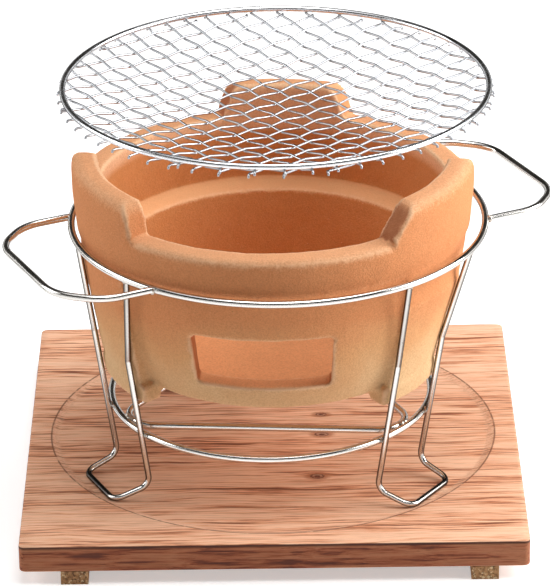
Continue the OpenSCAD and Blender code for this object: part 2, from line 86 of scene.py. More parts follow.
def along(way, out, side, height, shift=0.0):
    """A point of the stand: out and sideways along a direction from the legs' middle, in the part's frame."""
    a = math.radians(way) + TURN
    flat = Vector((out * math.cos(a) - side * math.sin(a), out * math.sin(a) + side * math.cos(a), height))
    return LEGS_MIDDLE + TURNED_RIGHT * shift + flat


# ---- camera, lamps and stage ----

PHOTO_LONG_SIDE = 586
CAMERA_FOCAL = 4068.4
CAMERA_FROM_BOARD = Vector((1.24, -1876.7, 938.1))
CAMERA_YAW, CAMERA_PITCH, CAMERA_ROLL = (math.radians(a) for a in (0.02, 24.64, -0.73))


def put_camera():
    data = bpy.data.cameras.new("camera")
    data.sensor_width = 36
    data.lens = CAMERA_FOCAL * data.sensor_width / PHOTO_LONG_SIDE
    data.clip_start, data.clip_end = 0.05, 20
    camera = bpy.data.objects.new("camera", data)
    bpy.context.scene.collection.objects.link(camera)
    ahead = Vector((math.sin(CAMERA_YAW) * math.cos(CAMERA_PITCH), math.cos(CAMERA_YAW) * math.cos(CAMERA_PITCH),
                    -math.sin(CAMERA_PITCH)))
    right = Vector((math.cos(CAMERA_YAW), -math.sin(CAMERA_YAW), 0))
    up = right.cross(ahead)
    rolled_right = right * math.cos(CAMERA_ROLL) + up * math.sin(CAMERA_ROLL)
    rolled_up = up * math.cos(CAMERA_ROLL) - right * math.sin(CAMERA_ROLL)
    turn = Matrix((rolled_right, rolled_up, -ahead)).transposed()
    place = Vector((BOARD_MIDDLE.x, BOARD_MIDDLE.y, BOARD_TOP)) + CAMERA_FROM_BOARD
    camera.matrix_world = Matrix.Translation(place * MM) @ turn.to_4x4()
    bpy.context.scene.camera = camera


LAMP_AIM = Vector((0, 0, 0.1))
LAMPS = (  # name, place and size in metres, power in watts
    ("right_softbox", (1.15, 0.0, 0.65), (0.9, 0.9), 20),
    ("left_softbox", (-1.15, 0.1, 0.6), (0.8, 0.8), 7),
    ("top_softbox", (0.1, -0.05, 1.4), (1.0, 0.8), 11.5))


def put_lamp(name, place, size, power):
    data = bpy.data.lights.new(name, "AREA")
    data.shape = "RECTANGLE"
    data.size, data.size_y = size
    data.energy = power
    lamp = bpy.data.objects.new(name, data)
    lamp.location = place
    lamp.rotation_euler = (LAMP_AIM - Vector(place)).to_track_quat("-Z", "Y").to_euler()
    bpy.context.scene.collection.objects.link(lamp)


# ---- node helpers ----

NORMAL, OBJECT = 1, 3  # outputs of Texture Coordinate
POINTINESS = 7  # output of Geometry
FACING = 1  # output of Layer Weight


def srgb(r, g, b):
    """A colour written as 0 to 255, as it is seen, in linear values."""
    return tuple((c / 255 / 12.92) if c <= 10 else ((c / 255 + 0.055) / 1.055) ** 2.4 for c in (r, g, b)) + (1.0,)


class Tree:
    """Adds nodes to a tree and links them in one line each."""

    def __init__(self, tree):
        self.tree = tree

    def add(self, kind, inputs=None, out=0, **settings):
        node = self.tree.nodes.new(kind)
        for key, value in settings.items():
            setattr(node, key, value)
        for key, value in (inputs or {}).items():
            self.feed(node, key, value)
        return node.outputs[out]

    def feed(self, node, key, value):
        socket = node.inputs[key]
        if isinstance(value, bpy.types.NodeSocket):
            self.tree.links.new(value, socket)
        else:
            socket.default_value = value

    def math(self, operation, a, b=0.0, clamp=False):
        return self.add("ShaderNodeMath", {0: a, 1: b}, operation=operation, use_clamp=clamp)

    def times(self, first, *others):
        for value in others:
            first = self.math("MULTIPLY", first, value)
        return first

    def plus(self, first, *others):
        for value in others:
            first = self.math("ADD", first, value)
        return first

    def minus(self, a, b):
        return self.math("SUBTRACT", a, b)

    def over(self, a, b):
        return self.math("DIVIDE", a, b)

    def distance(self, x, y):
        return self.math("SQRT", self.plus(self.times(x, x), self.times(y, y)))

    def scaled(self, vector, scale, move=(0, 0, 0)):
        return self.add("ShaderNodeMapping", {"Vector": vector, "Scale": scale, "Location": move})

    def noise(self, vector, scale, detail=2.0, rough=0.5, distort=0.0):
        return self.add("ShaderNodeTexNoise", {"Vector": vector, "Scale": scale, "Detail": detail,
                                               "Roughness": rough, "Distortion": distort})

    def bump(self, height, strength, distance):
        return self.add("ShaderNodeBump", {"Height": height, "Strength": strength, "Distance": distance})

    def ramp(self, value, stops):
        node = self.tree.nodes.new("ShaderNodeValToRGB")
        while len(node.color_ramp.elements) < len(stops):
            node.color_ramp.elements.new(0.5)
        for element, (at, colour) in zip(node.color_ramp.elements, stops):
            element.position = at
            element.color = colour
        self.tree.links.new(value, node.inputs[0])
        return node.outputs[0]

    def step(self, value, low, high, to_low=0.0, to_high=1.0):
        """Goes smoothly from one value to another between two limits; the first limit may be the higher one."""
        return self.add("ShaderNodeMapRange", {"Value": value, "From Min": low, "From Max": high,
                                               "To Min": to_low, "To Max": to_high}, interpolation_type="SMOOTHSTEP")

    def blend(self, share, a, b, kind="MIX"):
        node = self.tree.nodes.new("ShaderNodeMix")
        node.data_type = "RGBA"
        node.blend_type = kind
        for key, value in ((0, share), (6, a), (7, b)):
            self.feed(node, key, value)
        return node.outputs[2]

    def axes(self, vector):
        node = self.tree.nodes.new("ShaderNodeSeparateXYZ")
        self.tree.links.new(vector, node.inputs[0])
        return node.outputs

    def vector(self, x, y, z):
        return self.add("ShaderNodeCombineXYZ", {0: x, 1: y, 2: z})


def shader_group(name, inputs, outputs):
    """An effect shared by several finishes: (group, tree helper, inputs, function that sets an output)."""
    group = bpy.data.node_groups.new(name, "ShaderNodeTree")
    kinds = {"f": "NodeSocketFloat", "v": "NodeSocketVector"}
    for key, kind, value in inputs:
        socket = group.interface.new_socket(key, in_out="INPUT", socket_type=kinds[kind])
        socket.default_value = value
    for key in outputs:
        group.interface.new_socket(key, in_out="OUTPUT", socket_type=kinds["f"])
    t = Tree(group)
    given = group.nodes.new("NodeGroupInput").outputs
    end = group.nodes.new("NodeGroupOutput")
    return group, t, given, lambda key, value: group.links.new(value, end.inputs[key])


def use(t, group, inputs):
    node = t.tree.nodes.new("ShaderNodeGroup")
    node.node_tree = group
    for key, value in inputs.items():
        t.feed(node, key, value)
    return node.outputs


def finish_named(name):
    """A new material: (material, tree helper, its shader, object coordinates in metres)."""
    material = bpy.data.materials.new(name)
    material.use_nodes = True
    t = Tree(material.node_tree)
    shader = material.node_tree.nodes["Principled BSDF"]
    here = t.add("ShaderNodeTexCoord", out=OBJECT)
    return material, t, shader, here


# ---- shared effects ----

def make_grit():
    """Fine mineral grit: a height, and dark and pale specks."""
    group, t, given, put = shader_group(
        "grit", [("Vector", "v", (0, 0, 0)), ("Size mm", "f", 0.8), ("Speck Amount", "f", 0.5)],
        ["Height", "Dark Specks", "Pale Specks"])
    here = given["Vector"]
    per_metre = t.over(1000.0, given["Size mm"])
    coarse = t.noise(here, per_metre, 3.0, 0.65)
    fine = t.noise(here, t.times(per_metre, 2.6), 2.0, 0.6)
    put("Height", t.plus(t.times(coarse, 0.65), t.times(fine, 0.35)))
    dark = t.noise(here, t.times(per_metre, 0.9), 1.0, 0.5)
    pale = t.noise(t.scaled(here, (1, 1, 1), (3.1, 1.7, 0.4)), per_metre, 1.0, 0.5)
    edge = t.minus(0.76, t.times(given["Speck Amount"], 0.12))
    for key, specks, fade in (("Dark Specks", dark, 0.08), ("Pale Specks", pale, 0.1)):
        put(key, t.add("ShaderNodeMapRange", {"Value": specks, "From Min": edge, "From Max": t.plus(edge, fade)}))
    return group


def make_patches():
    """Broad uneven colour, as from firing, sawing or handling: 0 to 1."""
    group, t, given, put = shader_group(
        "patches", [("Vector", "v", (0, 0, 0)), ("Size mm", "f", 40.0), ("Contrast", "f", 0.5)], ["Share"])
    spots = t.noise(given["Vector"], t.over(1000.0, given["Size mm"]), 4.0, 0.55, 0.4)
    centred = t.times(t.minus(spots, 0.5), t.times(given["Contrast"], 4.0))
    put("Share", t.math("ADD", centred, 0.5, clamp=True))
    return group


def make_knot():
    """Bends the grain round a knot and marks the knot and its rings. Places are in millimetres."""
    group, t, given, put = shader_group(
        "grain_round_knot",
        [("Vector", "v", (0, 0, 0)), ("Knot X", "f", 0.0), ("Knot Y", "f", 0.0), ("Radius", "f", 3.0),
         ("Length", "f", 1.6)],
        ["Shift", "Knot", "Rings", "Halo"])
    x, y, _ = t.axes(given["Vector"])
    dx = t.over(t.minus(x, given["Knot X"]), given["Length"])
    dy = t.minus(y, given["Knot Y"])
    square = t.plus(t.times(dx, dx), t.times(dy, dy))
    radius_square = t.times(given["Radius"], given["Radius"])
    push = t.over(radius_square, t.plus(square, t.times(radius_square, 0.35)))
    put("Shift", t.times(dy, push, -1.0))
    wobble = t.noise(given["Vector"], 0.9, 2.0)
    far = t.over(t.math("SQRT", square), given["Radius"])
    far = t.plus(far, t.times(t.minus(wobble, 0.5), 0.5))
    put("Knot", t.step(far, 1.05, 0.75))
    put("Rings", t.plus(t.times(t.math("SINE", t.times(far, 9.0)), 0.5), 0.5))
    put("Halo", t.times(t.step(far, 2.0, 1.0), t.step(far, 0.75, 1.05)))
    return group


def make_grain():
    """Sawn softwood with its grain along X: streaks, broad bands and fine pores. Places are in millimetres."""
    group, t, given, put = shader_group(
        "grain", [("Vector", "v", (0, 0, 0)), ("Shift", "f", 0.0), ("Streak Length", "f", 30.0),
                  ("Streak Width", "f", 1.7), ("Wave", "f", 2.4)],
        ["Streaks", "Bands", "Pores"])
    x, y, z = t.axes(given["Vector"])
    lazy = t.noise(t.vector(t.times(x, 0.016), t.times(y, 0.03), t.times(z, 0.03)), 1.0, 2.0)
    quick = t.noise(t.vector(t.times(x, 0.07), t.times(y, 0.16), t.times(z, 0.2)), 1.0, 2.0)
    bent = t.plus(y, given["Shift"])
    for bend, reach in ((lazy, 6), (quick, 0.7)):
        bent = t.plus(bent, t.times(t.minus(bend, 0.5), t.times(given["Wave"], reach)))
    lengthwise = t.over(x, given["Streak Length"])
    crosswise = t.over(bent, t.times(given["Streak Width"], 2))
    deep = t.over(z, t.times(given["Streak Width"], 2.5))
    for key, scales, detail, rough in (("Streaks", (1, 1, 1), 5.0, 0.62), ("Bands", (0.22, 0.16, 0.2), 3.0, 0.55),
                                       ("Pores", (1.1, 2.6, 4.0), 3.0, 0.7)):
        place = t.vector(*(t.times(v, scale) for v, scale in zip((lengthwise, crosswise, deep), scales)))
        put(key, t.noise(place, 1.0, detail, rough))
    return group


GRIT, PATCHES, KNOT, GRAIN = make_grit(), make_patches(), make_knot(), make_grain()


# ---- finishes ----

# Limits of the clay's shades, most of them painted light and painted shade, in millimetres above the bowl's feet or
# out from its axis. A shade starts at the first number of a pair and is full at the second.
STRAW_TO_ORANGE = (2, 80)
LOW_WALL, HIGH_WALL = (92, 84), (83, 90)
HEARTH_TOP, HEARTH_RIM = (60, 50), (84, 80)
SILL_TOP, SILL_START = (40, 30), (84, 88)
JAMB_SIDE, JAMB_BACK, JAMB_TOP, JAMB_FOOT = (46, 42), (-60, -66), (51, 48), (16, 19)
LEDGE_FOOT, LEDGE_TOP = (50, 54), (66, 62)
UPWARD_START, LUG_START = (60, 72), (90, 95)


def terracotta():
    """Unglazed clay, orange at the top and straw-coloured where it was fired palest, at the bottom, with painted light
    and painted shade inside the bowl, in its draft hole, on its tops and along its edges.
    """
    material, t, shader, here = finish_named("terracotta_clay")
    grit = use(t, GRIT, {"Vector": here, "Size mm": 0.8, "Speck Amount": 0.3})
    sand = t.noise(here, 1150.0, 2.0, 0.7)
    broad = use(t, PATCHES, {"Vector": here, "Size mm": 55.0, "Contrast": 0.45})["Share"]
    small = use(t, PATCHES, {"Vector": here, "Size mm": 7.0, "Contrast": 0.35})["Share"]
    place = t.scaled(here, (1 / MM,) * 3, (-BOWL_MIDDLE.x, -BOWL_MIDDLE.y, -BOARD_TOP - BOWL_HEIGHT))
    x, y, height = t.axes(place)
    nx, ny, nz = t.axes(t.add("ShaderNodeTexCoord", out=NORMAL))
    out = t.distance(x, y)
    outward = t.over(t.plus(t.times(x, nx), t.times(y, ny)), out)
    uneven = t.plus(height, t.times(t.minus(broad, 0.5), 16.0))
    colour = t.ramp(t.step(uneven, *STRAW_TO_ORANGE), [
        (0.0, srgb(240, 206, 156)), (0.35, srgb(238, 182, 126)), (0.8, srgb(237, 156, 101)),
        (1.0, srgb(237, 155, 100))])

    # painted shade: the lower inner wall is darkened brown as if in the bowl's own shade; painted light: the upper
    # inner wall is paled as if lit
    low_wall = t.times(t.step(outward, -0.1, -0.5), t.step(height, *LOW_WALL))
    high_wall = t.times(t.step(outward, -0.1, -0.4), t.step(height, *HIGH_WALL))
    level = t.step(nz, 0.4, 0.7)
    # painted light: the level floor inside the bowl is paled as if lit from above through its mouth
    hearth = t.times(level, t.step(height, *HEARTH_TOP), t.step(out, *HEARTH_RIM))
    # painted shade: the draft hole's sill and its jambs are darkened as if in shade
    sill = t.times(level, t.step(height, *SILL_TOP), t.step(out, *SILL_START))
    across = t.math("ABSOLUTE", t.minus(x, HOLE_MIDDLE))
    jamb = t.times(t.step(t.math("ABSOLUTE", nx), 0.5, 0.8), t.step(across, *JAMB_SIDE), t.step(y, *JAMB_BACK),
                   t.step(height, *JAMB_TOP), t.step(height, *JAMB_FOOT))
    # painted light: upward faces high on the bowl are paled as if lit from above
    upward = t.times(t.step(nz, 0.25, 0.8), t.step(height, *UPWARD_START))
    # painted light: the upward face of the inner ledge is paled as a lit band
    ledge = t.times(t.step(nz, 0.2, 0.6), t.step(height, *LEDGE_FOOT), t.step(height, *LEDGE_TOP))
    # painted shade: the lug's end face that looks left is darkened as if in shade
    cut_end = t.times(t.step(nx, -0.4, -0.65), t.step(outward, -0.92, -0.78), t.step(outward, 0.5, 0.3),
                      t.step(height, *LUG_START))
    # partly real wear and partly a painted highlight: sharp edges are paled
    worn_and_highlit_edge = t.step(t.plus(t.add("ShaderNodeNewGeometry", out=POINTINESS), t.times(sand, 0.05)), 0.53, 0.58)
    for mask, share, shade in (
            (low_wall, 1, (214, 144, 84)), (high_wall, 0.85, (255, 212, 170)), (hearth, 1, (255, 184, 128)),
            (sill, 0.8, (204, 120, 72)), (jamb, 0.8, (190, 110, 66)), (upward, 0.4, (255, 208, 164)),
            (broad, 0.3, (214, 138, 88)), (small, 0.2, (240, 182, 136)),
            (t.step(sand, 0.62, 0.34), 0.24, (170, 98, 58)), (grit["Dark Specks"], 0.35, (120, 66, 40)),
            (grit["Pale Specks"], 0.5, (250, 214, 178)), (ledge, 0.6, (255, 200, 148)),
            (cut_end, 0.75, (150, 82, 50)), (worn_and_highlit_edge, 0.75, (255, 208, 164))):
        colour = t.blend(t.times(mask, share), colour, srgb(*shade))
    t.feed(shader, "Base Color", colour)
    t.feed(shader, "Roughness", t.step(small, 0.0, 1.0, 0.82, 0.95))
    t.feed(shader, "Normal", t.bump(t.plus(grit["Height"], t.times(sand, 0.6)), 0.7, 0.0006))
    shader.inputs["Specular IOR Level"].default_value = 0.2
    return material


KNOTS = ((22.0, -51.0, 3.0, 1.35), (25.0, -4.0, 2.6, 1.6), (25.0, 19.0, 2.0, 1.7))  # x, y, radius, length


def board_wood():
    """Brushed softwood, pinkish tan with brown wavy streaks, three knots and darker sawn sides."""
    material, t, shader, here = finish_named("board_softwood")
    place = t.scaled(here, (1 / MM,) * 3, (-BOARD_MIDDLE.x, -BOARD_MIDDLE.y, -BOARD_TOP))
    shift = dark_knot = halo = 0.0
    for x, y, radius, length in KNOTS:
        knot = use(t, KNOT, {"Vector": place, "Knot X": x, "Knot Y": y, "Radius": radius, "Length": length})
        shift = t.plus(shift, knot["Shift"])
        ringed = t.times(knot["Knot"], t.plus(t.times(knot["Rings"], 0.5), 0.5))
        dark_knot = t.math("MAXIMUM", dark_knot, ringed)
        halo = t.math("MAXIMUM", halo, knot["Halo"])
    grain = use(t, GRAIN, {"Vector": place, "Shift": shift, "Streak Length": 40.0, "Streak Width": 0.7, "Wave": 1.2})
    broad = use(t, PATCHES, {"Vector": here, "Size mm": 90.0, "Contrast": 0.5})["Share"]
    tone = t.plus(t.times(grain["Streaks"], 0.7), t.times(grain["Bands"], 0.42), t.times(t.minus(broad, 0.5), 0.05))
    colour = t.ramp(tone, [(0.43, srgb(124, 70, 46)), (0.48, srgb(190, 122, 86)), (0.52, srgb(236, 172, 134)),
                           (0.59, srgb(250, 202, 168))])

    # the turned edge of the recess has a fine dark line outside and a paler slope
    x, y, z = t.axes(place)
    out = t.distance(x, y)
    on_top = t.step(z, -RECESS_DEPTH - 1.5, -RECESS_DEPTH - 0.5)
    line = t.times(t.step(out, RECESS_R - 0.7, RECESS_R - 0.1), t.step(out, RECESS_R + 0.7, RECESS_R + 0.1),
                   t.step(t.noise(here, 260.0, 2.0), 0.25, 0.5), on_top)
    slope_start = RECESS_R - RECESS_SLOPE
    slope = t.times(t.step(out, slope_start - 1, slope_start + 0.5), t.step(out, RECESS_R, RECESS_R - 1), on_top)
    for mask, share, shade in (
            (t.step(grain["Pores"], 0.5, 0.62), 0.5, (158, 96, 64)), (halo, 0.7, (176, 106, 68)),
            (dark_knot, 1, (96, 42, 24)), (line, 0.85, (120, 72, 48)), (slope, 0.28, (240, 196, 164))):
        colour = t.blend(t.times(mask, share), colour, srgb(*shade))

    # the sides are darker than the top, and darkest along the top edge
    facing_up = t.axes(t.add("ShaderNodeTexCoord", out=NORMAL))[2]
    side = t.step(t.math("ABSOLUTE", facing_up), 0.8, 0.3)
    colour = t.blend(t.times(side, 0.85), colour, srgb(170, 118, 78), "MULTIPLY")
    colour = t.blend(t.times(side, t.step(z, -2.2, -0.9), 0.9), colour, srgb(58, 32, 22))
    t.feed(shader, "Base Color", colour)
    t.feed(shader, "Roughness", t.step(grain["Streaks"], 0.3, 0.7, 0.5, 0.68))
    relief = t.plus(t.times(grain["Streaks"], 0.8), t.times(grain["Pores"], 0.2))
    t.feed(shader, "Normal", t.bump(relief, 0.5, 0.0007))
    shader.inputs["Specular IOR Level"].default_value = 0.3
    return material


def batten_wood():
    """Rough sawn batten, its grain from front to back and its ends pale and chipped."""
    material, t, shader, here = finish_named("batten_softwood")
    turned = t.add("ShaderNodeMapping", {"Vector": here, "Scale": (1 / MM,) * 3,
                                         "Rotation": (0, 0, math.radians(90))})
    grain = use(t, GRAIN, {"Vector": turned, "Shift": 0.0, "Streak Length": 26.0, "Streak Width": 0.9, "Wave": 1.0})
    torn = use(t, GRIT, {"Vector": here, "Size mm": 1.3, "Speck Amount": 1.4})
    ends = t.step(t.math("ABSOLUTE", t.axes(t.add("ShaderNodeTexCoord", out=NORMAL))[1]), 0.5, 0.9)
    colour = t.ramp(grain["Streaks"], [(0.36, srgb(120, 84, 54)), (0.5, srgb(178, 130, 84)),
                                       (0.66, srgb(212, 164, 112))])
    for mask, share, shade in (
            (t.step(grain["Bands"], 0.4, 0.6), 0.3, (160, 112, 72)), (ends, torn["Dark Specks"], (96, 62, 36)),
            (ends, torn["Pale Specks"], (232, 204, 160))):
        colour = t.blend(t.times(mask, share), colour, srgb(*shade))
    t.feed(shader, "Base Color", colour)
    t.feed(shader, "Roughness", t.step(grain["Pores"], 0.3, 0.7, 0.7, 0.9))
    t.feed(shader, "Normal", t.bump(t.plus(grain["Streaks"], t.times(ends, torn["Height"])), 0.7, 0.0008))
    return material


def bright_wire(name, tint, rough, dull, edge=(50, 42, 36), mark_share=0.4, mark_size=0.9, away=(0.6, 0.92),
                tinted=0.15):
    """Plated wire: bright along its middle and with a painted dark reflection at its edges, with faint drawing marks
    and duller patches.
    """
    material, t, shader, here = finish_named(name)
    patches = use(t, PATCHES, {"Vector": here, "Size mm": 18.0, "Contrast": 0.7})["Share"]
    marks = use(t, GRIT, {"Vector": here, "Size mm": mark_size, "Speck Amount": 0.6})
    # painted reflection: the colour goes dark where the wire turns away from view, and its specular tint leans to the
    # same dark colour, as dark surroundings mirrored along its edges
    painted_edge_facing = t.add("ShaderNodeLayerWeight", {"Blend": 0.5}, out=FACING)
    colour = srgb(*tint)
    for mask, share, shade in ((patches, 0.35, dull), (marks["Dark Specks"], mark_share, (96, 84, 74)),
                               (t.step(painted_edge_facing, *away), 0.8, edge)):
        colour = t.blend(t.times(mask, share), colour, srgb(*shade))
    t.feed(shader, "Base Color", colour)
    t.feed(shader, "Specular Tint", t.blend(tinted, (1.0, 1.0, 1.0, 1.0), srgb(*edge)))
    t.feed(shader, "Roughness", t.step(patches, 0.0, 1.0, rough, rough + 0.12))
    t.feed(shader, "Normal", t.bump(marks["Height"], 0.12, 0.0002))
    shader.inputs["Metallic"].default_value = 1.0
    return material


def plain_steel():
    material, t, shader, here = finish_named("nail_steel")
    patches = use(t, PATCHES, {"Vector": here, "Size mm": 2.0, "Contrast": 0.8})["Share"]
    t.feed(shader, "Base Color", t.blend(patches, srgb(150, 148, 144), srgb(110, 92, 78)))
    t.feed(shader, "Roughness", t.step(patches, 0, 1, 0.35, 0.6))
    shader.inputs["Metallic"].default_value = 1.0
    return material


CLAY, BOARD_WOOD, BATTEN_WOOD = terracotta(), board_wood(), batten_wood()
# every wire finish has a painted dark reflection along its edges; the legs' one is wider and tints most of their
# reflection, and the net's wires' one is grey
STAND_CHROME = bright_wire("stand_chrome", (226, 224, 220), 0.1, (206, 198, 188))
LEG_CHROME = bright_wire("leg_chrome", (226, 224, 220), 0.12, (200, 190, 178), away=(0.14, 0.46), tinted=0.8)
WELD_CHROME = bright_wire("weld_chrome", (200, 192, 182), 0.26, (140, 122, 104))
NET_ZINC = bright_wire("net_zinc", (232, 233, 235), 0.14, (206, 208, 212))
MESH_ZINC = bright_wire("mesh_zinc", (190, 192, 196), 0.24, (150, 153, 158), edge=(70, 72, 76), mark_share=0.7,
                        mark_size=2.2)
STEEL = plain_steel()


# ---- geometry trees ----

def geometry_tree(name, inputs):
    tree = bpy.data.node_groups.new(name, "GeometryNodeTree")
    kinds = {"g": "NodeSocketGeometry", "f": "NodeSocketFloat", "i": "NodeSocketInt", "m": "NodeSocketMaterial"}
    for key, kind in inputs:
        tree.interface.new_socket(key, in_out="INPUT", socket_type=kinds[kind])
    tree.interface.new_socket("Geometry", in_out="OUTPUT", socket_type=kinds["g"])
    t = Tree(tree)
    given = tree.nodes.new("NodeGroupInput").outputs
    end = tree.nodes.new("NodeGroupOutput")

    def finish(shape):
        shape = t.add("GeometryNodeRealizeInstances", {"Geometry": shape})
        shape = t.add("GeometryNodeSetMaterial", {"Geometry": shape, "Material": given["Finish"]})
        tree.links.new(shape, end.inputs[0])
    return tree, t, given, finish


def make_bent_wire():
    """Wires bent along their corner points: round corners, a round section and closed ends."""
    tree, t, given, finish = geometry_tree("bent_wire", [
        ("Geometry", "g"), ("Diameter", "f"), ("Bend Radius", "f"), ("Bend Steps", "i"), ("Sides", "i"),
        ("Finish", "m")])
    line = t.add("GeometryNodeFilletCurve", {"Curve": given["Geometry"], "Count": given["Bend Steps"],
                                             "Radius": given["Bend Radius"], "Limit Radius": True}, mode="POLY")
    section = t.add("GeometryNodeCurvePrimitiveCircle", {"Resolution": given["Sides"],
                                                         "Radius": t.times(given["Diameter"], 0.5)})
    tube = t.add("GeometryNodeCurveToMesh", {"Curve": line, "Profile Curve": section, "Fill Caps": True})
    finish(t.add("GeometryNodeSetShadeSmooth", {"Geometry": tube}))
    return tree


def make_beads():
    """Lumps of weld metal, one on each point, uneven in size and turn."""
    tree, t, given, finish = geometry_tree("weld_beads", [
        ("Geometry", "g"), ("Diameter", "f"), ("Unevenness", "f"), ("Seed", "i"), ("Finish", "m")])
    radius = t.times(given["Diameter"], 0.5)
    lump = t.add("GeometryNodeMeshIcoSphere", {"Radius": radius, "Subdivisions": 3})
    rough = t.noise(t.add("GeometryNodeInputPosition"), 620.0, 2.0)
    push = t.add("ShaderNodeVectorMath", {0: t.add("GeometryNodeInputNormal"),
                                          "Scale": t.times(t.minus(rough, 0.5), radius)}, operation="SCALE")
    lump = t.add("GeometryNodeSetPosition", {"Geometry": lump, "Offset": push})
    turn = t.tree.nodes.new("FunctionNodeRandomValue")
    turn.data_type = "FLOAT_VECTOR"
    turn.inputs[1].default_value = (math.tau,) * 3
    t.feed(turn, "Seed", given["Seed"])
    size = t.tree.nodes.new("FunctionNodeRandomValue")
    size.data_type = "FLOAT_VECTOR"
    for i, sign in ((0, "SUBTRACT"), (1, "ADD")):
        edge = t.math(sign, 1.0, given["Unevenness"])
        t.feed(size, i, t.vector(edge, edge, edge))
    t.feed(size, "Seed", t.plus(given["Seed"], 7))
    placed = t.add("GeometryNodeInstanceOnPoints", {"Points": given["Geometry"], "Instance": lump,
                                                    "Rotation": turn.outputs[0], "Scale": size.outputs[0]})
    placed = t.add("GeometryNodeRealizeInstances", {"Geometry": placed})
    finish(t.add("GeometryNodeSetShadeSmooth", {"Geometry": placed}))
    return tree


BENT_WIRE, WELD_BEADS = make_bent_wire(), make_beads()


def baked(name, data, tree, settings):
    """Runs a geometry tree on curve or point data and returns the result as a plain mesh piece."""
    start = bpy.data.objects.new(name + "_start", data)
    bpy.context.scene.collection.objects.link(start)
    modifier = start.modifiers.new("shape", "NODES")
    modifier.node_group = tree
    names = {i.name: i.identifier for i in tree.interface.items_tree if i.in_out == "INPUT"}
    for key, value in settings.items():
        modifier[names[key]] = value
    bpy.context.view_layer.update()
    mesh = bpy.data.meshes.new_from_object(start.evaluated_get(bpy.context.evaluated_depsgraph_get()))
    bpy.data.objects.remove(start)
    return piece(name, mesh)


def piece(name, mesh, material=None):
    """Puts a mesh into the scene under its name, with one material if it's given."""
    mesh.name = name
    made = bpy.data.objects.new(name, mesh)
    bpy.context.scene.collection.objects.link(made)
    if material:
        mesh.materials.clear()
        mesh.materials.append(material)
    return made


def line_data(name, lines, closed=False):
    data = bpy.data.curves.new(name, "CURVE")
    data.dimensions = "3D"
    for points in lines:
        spline = data.splines.new("POLY")
        spline.points.add(len(points) - 1)
        for place, at in zip(spline.points, points):
            place.co = (*(Vector(at) * MM), 1)
        spline.use_cyclic_u = closed
    return data


def wire_piece(name, lines, diameter, bend, closed=False, steps=10, sides=20, finish=None, body="stand"):
    made = baked(name, line_data(name, lines, closed), BENT_WIRE, {
        "Diameter": diameter * MM, "Bend Radius": bend * MM, "Bend Steps": steps, "Sides": sides,
        "Finish": finish or STAND_CHROME})
    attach(made, body)
    return made


def circle(centre, radius, count=180):
    return [centre + Vector((math.cos(math.tau * i / count), math.sin(math.tau * i / count), 0)) * radius
            for i in range(count)]


# ---- stand ----

def leg_line(foot_way, top_way):
    """The corners of a leg's one wire: down the first strut, round the foot and up the second strut."""
    top_out = math.sqrt(STRUT_TOP[0] ** 2 - STRUT_TOP[1] ** 2)

    def side_line(side):
        return [along(top_way, top_out, side * STRUT_TOP[1], STRUT_TOP[2], TOP_RING_SHIFT),
                along(foot_way, STRUT_BEND[0], side * STRUT_BEND[1], STRUT_BEND[2], STRUT_BEND_SHIFT),
                along(foot_way, STRUT_LOW[0], side * STRUT_LOW[1], STRUT_LOW[2]),
                along(foot_way, FOOT[0], side * FOOT[1], FOOT[2])]

    return side_line(-1) + side_line(1)[::-1]


def handle_line(way, reach):
    """The corners of a handle's wire, from one end on the top ring to the other."""
    root_r = TOP_RING_R + RING_WIRE / 2 - WELD_SINK
    root = math.sqrt(root_r ** 2 - HANDLE_ROOT_HALF ** 2)
    half = [(root, HANDLE_ROOT_HALF), (reach - HANDLE_CORNER, HANDLE_ROOT_HALF), (reach, HANDLE_BAR_HALF)]
    return [along(way, out, side * v, TOP_RING_HEIGHT, TOP_RING_SHIFT)
            for side, part in ((-1, half), (1, half[::-1])) for out, v in part]


LEGS = {"leg_front_left": (FRONT - LEG_ANGLE, FRONT - LEG_TOP_ANGLE),
        "leg_front_right": (FRONT + LEG_ANGLE, FRONT + LEG_TOP_ANGLE), "leg_back": (BACK, BACK)}
HANDLES = {"handle_left": (180 + HANDLE_ANGLE, HANDLE_REACH["left"]),
           "handle_right": (HANDLE_ANGLE, HANDLE_REACH["right"])}


BEAD_SIZE, BEAD_UNEVEN, BEAD_SEED = 3.5, 0.22, 4
CORNER_BEADS = ((-1.2, 0.9), (1.3, 1.0), (0.2, -1.0))  # sideways and up from where the triangle meets the ring


